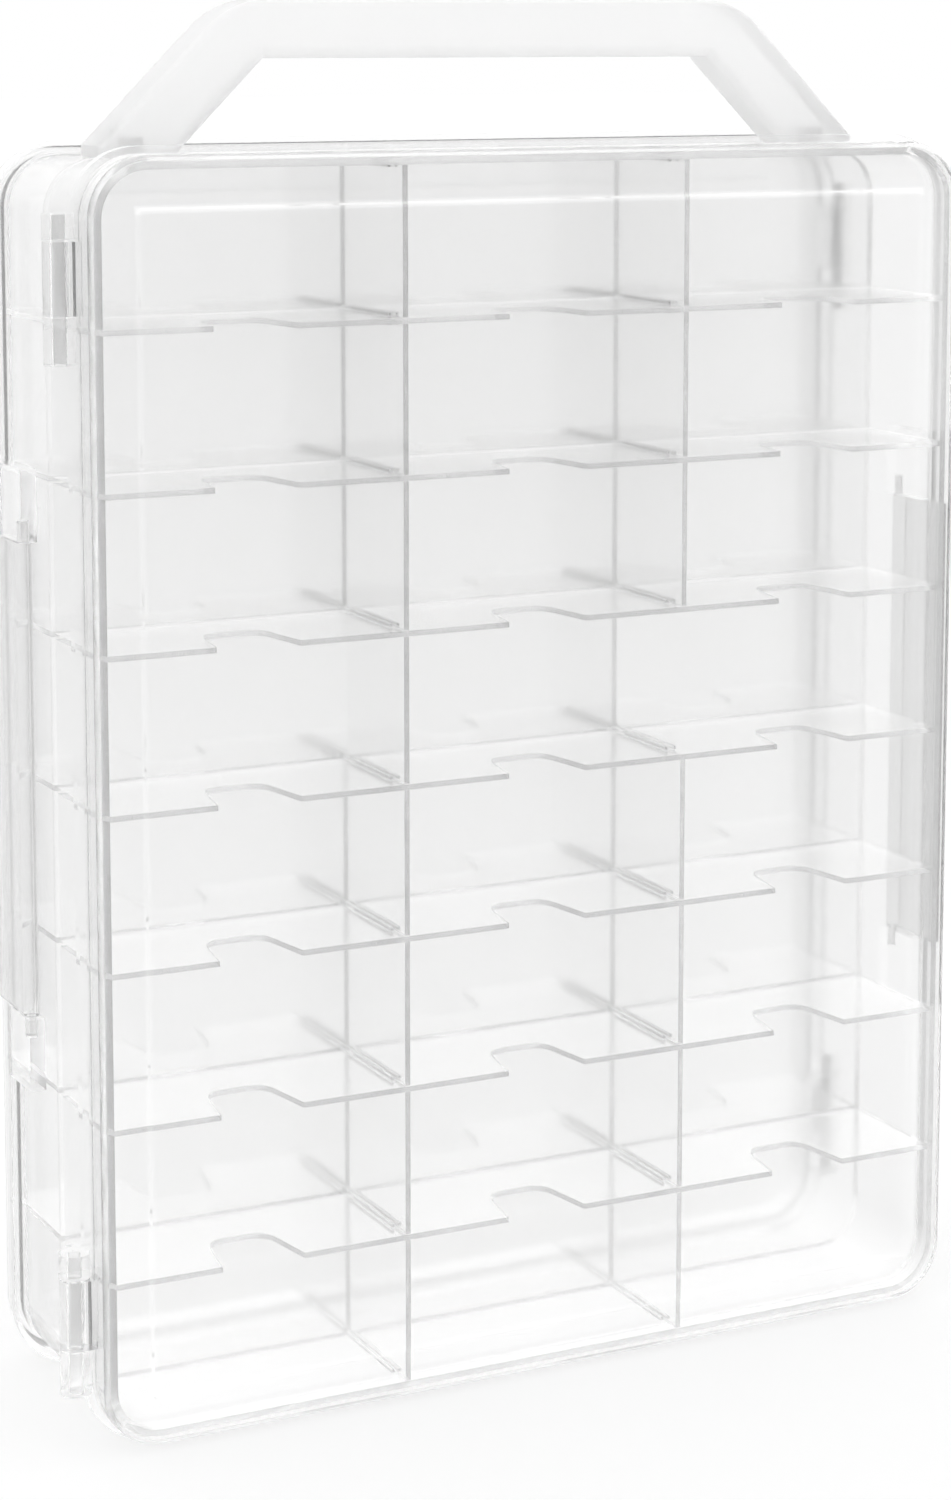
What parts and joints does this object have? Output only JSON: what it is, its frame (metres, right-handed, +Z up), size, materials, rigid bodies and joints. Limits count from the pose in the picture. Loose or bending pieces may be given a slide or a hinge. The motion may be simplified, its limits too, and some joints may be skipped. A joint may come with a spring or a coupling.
{
  "type": "bobbin storage case",
  "caption": "Upright double-sided storage case of clear plastic with compartments for bobbins, hinged covers, long side latches and a carry handle.",
  "frame": {"origin": "middle of the case's footprint, on the surface that it stands on", "axes": "+Z up towards the handle, -Y out of the front cover, +X to the right of someone who faces it"},
  "size_m": [0.2546, 0.0772, 0.348],
  "materials": {
    "tray": "clear, lightly frosted",
    "cover": "clear, glossy",
    "divider": "clear, glossy",
    "latch": "clear, glossy",
    "hinge_pin": "clear, satin",
    "handle": "translucent, satin"
  },
  "bodies": {
    "case": {"carry_handle": "handle", "front_lower_hinge_pin": "hinge_pin", "front_row_1_left_divider": "divider", "front_row_1_right_divider": "divider", "front_row_2_left_divider": "divider", "front_row_2_right_divider": "divider", "front_row_3_left_divider": "divider", "front_row_3_right_divider": "divider", "front_row_4_left_divider": "divider", "front_row_5_left_divider": "divider", "front_row_5_right_divider": "divider", "front_row_6_left_divider": "divider", "front_row_6_right_divider": "divider", "front_row_7_left_divider": "divider", "front_row_7_right_divider": "divider", "front_row_8_left_divider": "divider", "front_row_8_right_divider": "divider", "front_tray": "tray", "front_upper_hinge_pin": "hinge_pin", "rear_lower_hinge_pin": "hinge_pin", "rear_row_1_left_divider": "divider", "rear_row_1_right_divider": "divider", "rear_row_2_left_divider": "divider", "rear_row_2_right_divider": "divider", "rear_row_3_left_divider": "divider", "rear_row_3_right_divider": "divider", "rear_row_4_left_divider": "divider", "rear_row_5_left_divider": "divider", "rear_row_5_right_divider": "divider", "rear_row_6_left_divider": "divider", "rear_row_6_right_divider": "divider", "rear_row_7_left_divider": "divider", "rear_row_7_right_divider": "divider", "rear_row_8_left_divider": "divider", "rear_row_8_right_divider": "divider", "rear_tray": "tray", "rear_upper_hinge_pin": "hinge_pin"},
    "front_cover": {"front_cover": "cover"},
    "rear_cover": {"rear_cover": "cover"},
    "front_latch": {"front_latch": "latch"},
    "rear_latch": {"rear_latch": "latch"}
  },
  "joints": [
    {"name": "front_cover_hinge", "type": "hinge", "parent": "case", "child": "front_cover", "pos_m": [-0.1235, -0.02805, 0.1568], "axis": [0, 0, -1], "range_deg": [0, 180]},
    {"name": "rear_cover_hinge", "type": "hinge", "parent": "case", "child": "rear_cover", "pos_m": [0.1235, 0.02805, 0.1568], "axis": [0, 0, -1], "range_deg": [0, 180]},
    {"name": "front_latch_hinge", "type": "hinge", "parent": "case", "child": "front_latch", "pos_m": [0.1196, -0.012, 0.1568], "axis": [0, 0, 1], "range_deg": [0, 110]},
    {"name": "rear_latch_hinge", "type": "hinge", "parent": "case", "child": "rear_latch", "pos_m": [-0.1196, 0.012, 0.1568], "axis": [0, 0, 1], "range_deg": [0, 110]}
  ]
}
